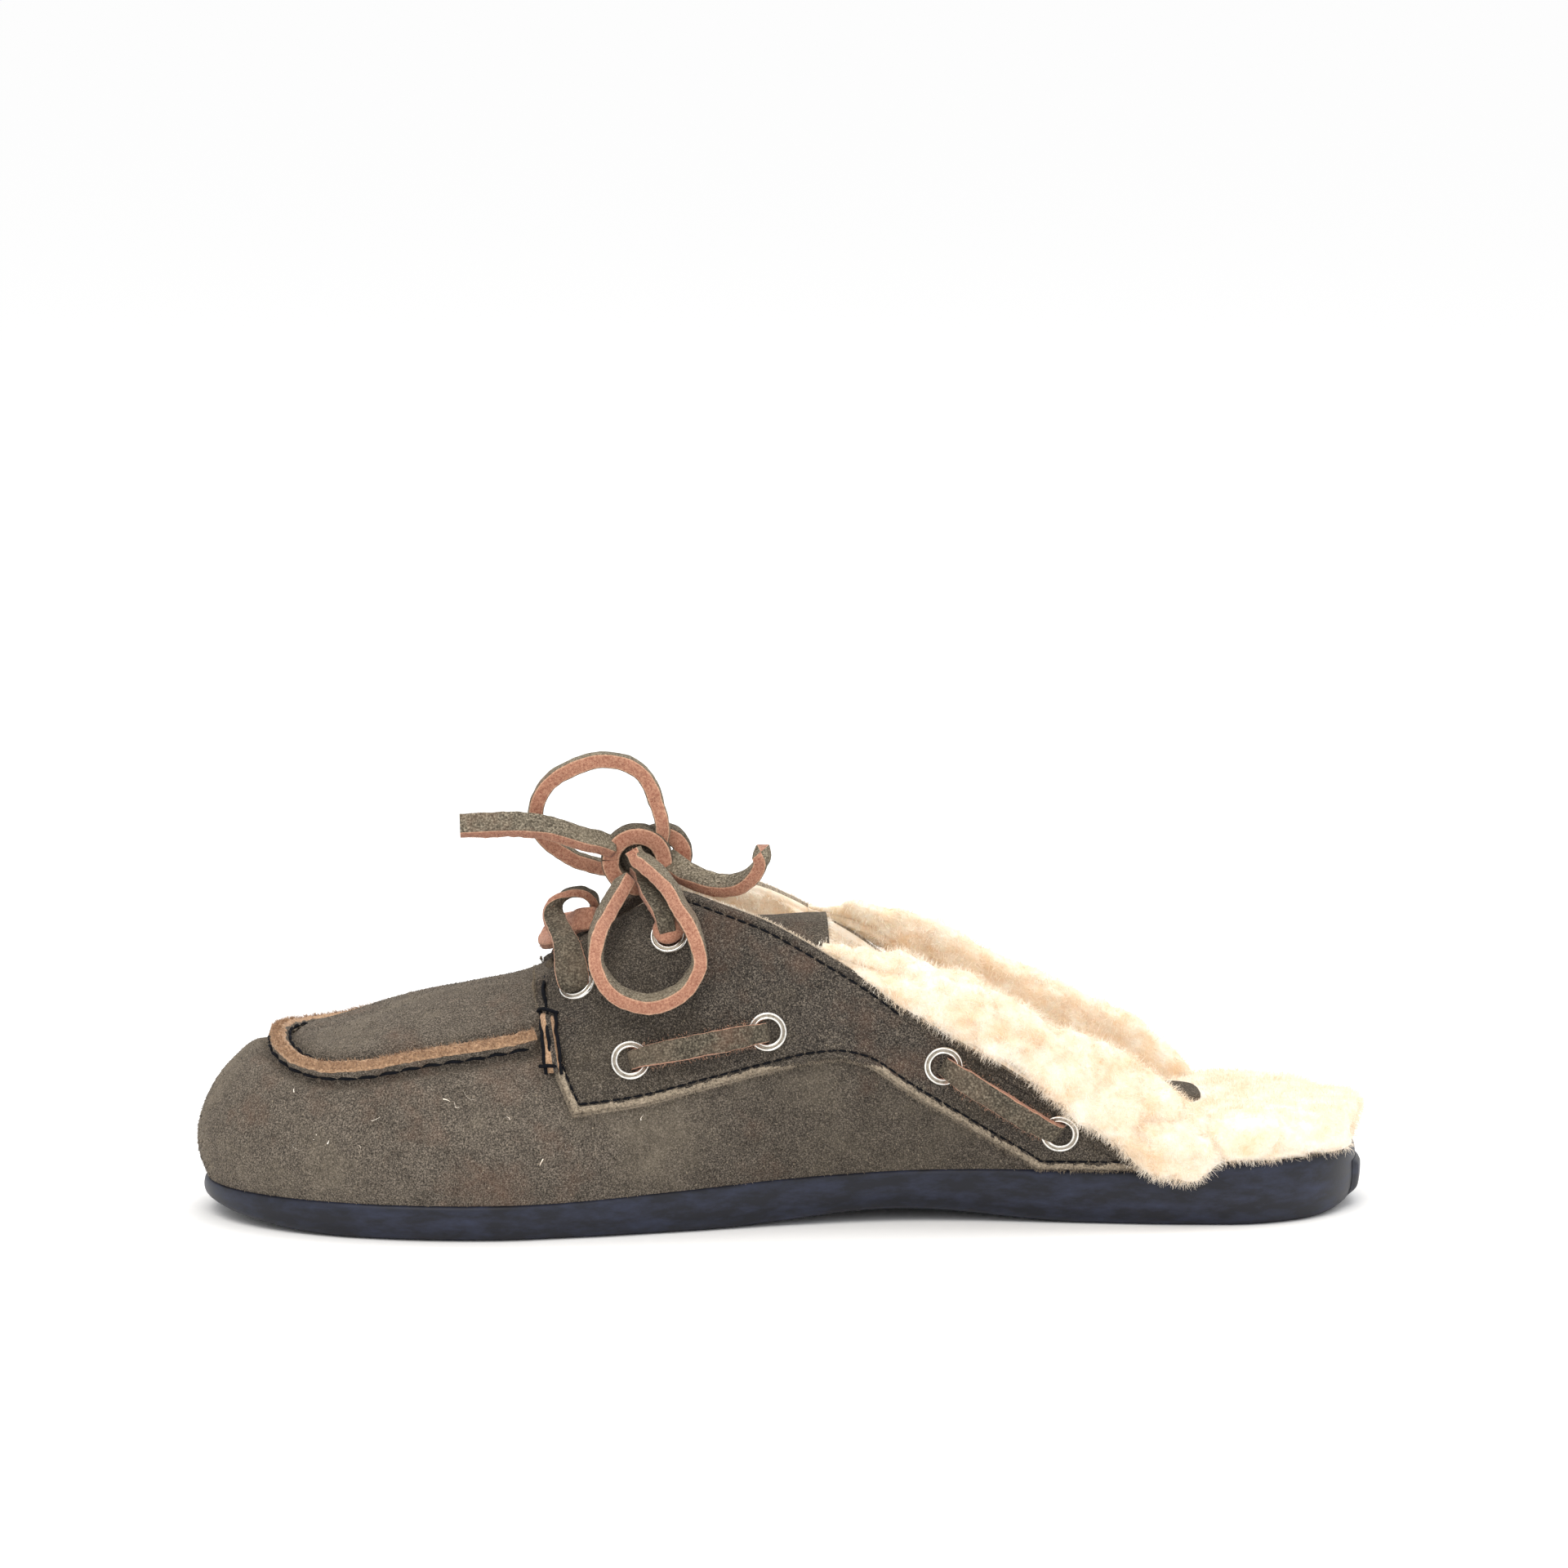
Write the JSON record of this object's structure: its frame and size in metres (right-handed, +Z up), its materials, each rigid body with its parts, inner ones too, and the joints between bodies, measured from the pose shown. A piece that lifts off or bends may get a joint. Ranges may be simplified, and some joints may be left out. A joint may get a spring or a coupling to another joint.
{
  "type": "shearling-lined mule",
  "caption": "Backless boat-shoe slip-on for the right foot: suede upper with a moccasin toe seam, shearling lining over the collar, leather lace bow through eyelets, flat rubber sole.",
  "frame": {"origin": "on the ground, under the middle of the shoe's bounding box without its bow", "axes": "+Z up, toe towards -X, heel towards +X, inner (medial) side towards -Y"},
  "size_m": [0.2812, 0.0954, 0.1093],
  "materials": {
    "rubber": "satin",
    "shearling": "deep pile",
    "suede": "suede nap",
    "dark_suede": "suede nap",
    "raw_leather": "raw cut",
    "nickel": "polished"
  },
  "bodies": {
    "root": {"outsole": "rubber", "heel_tab": "rubber", "insole": "shearling", "insole_patch": "dark_suede", "upper": "suede", "moc_seam": "raw_leather", "tongue": "dark_suede", "saddle_medial": "dark_suede", "eyelet_medial_throat_front": "nickel", "eyelet_medial_throat_rear": "nickel", "eyelet_medial_side_1": "nickel", "eyelet_medial_side_2": "nickel", "eyelet_medial_side_3": "nickel", "eyelet_medial_side_4": "nickel", "lace_bar_medial_front": "raw_leather", "lace_bar_medial_rear": "raw_leather", "shearling_cuff_medial": "shearling", "saddle_lateral": "dark_suede", "eyelet_lateral_throat_front": "nickel", "eyelet_lateral_throat_rear": "nickel", "eyelet_lateral_side_1": "nickel", "eyelet_lateral_side_2": "nickel", "eyelet_lateral_side_3": "nickel", "eyelet_lateral_side_4": "nickel", "lace_bar_lateral_front": "raw_leather", "lace_bar_lateral_rear": "raw_leather", "shearling_cuff_lateral": "shearling", "lace_crossing": "raw_leather", "lace_knot": "raw_leather", "lace_loop_upper": "raw_leather", "lace_loop_lower": "raw_leather", "lace_end_left": "raw_leather", "lace_end_right": "raw_leather"}
  },
  "joints": []
}
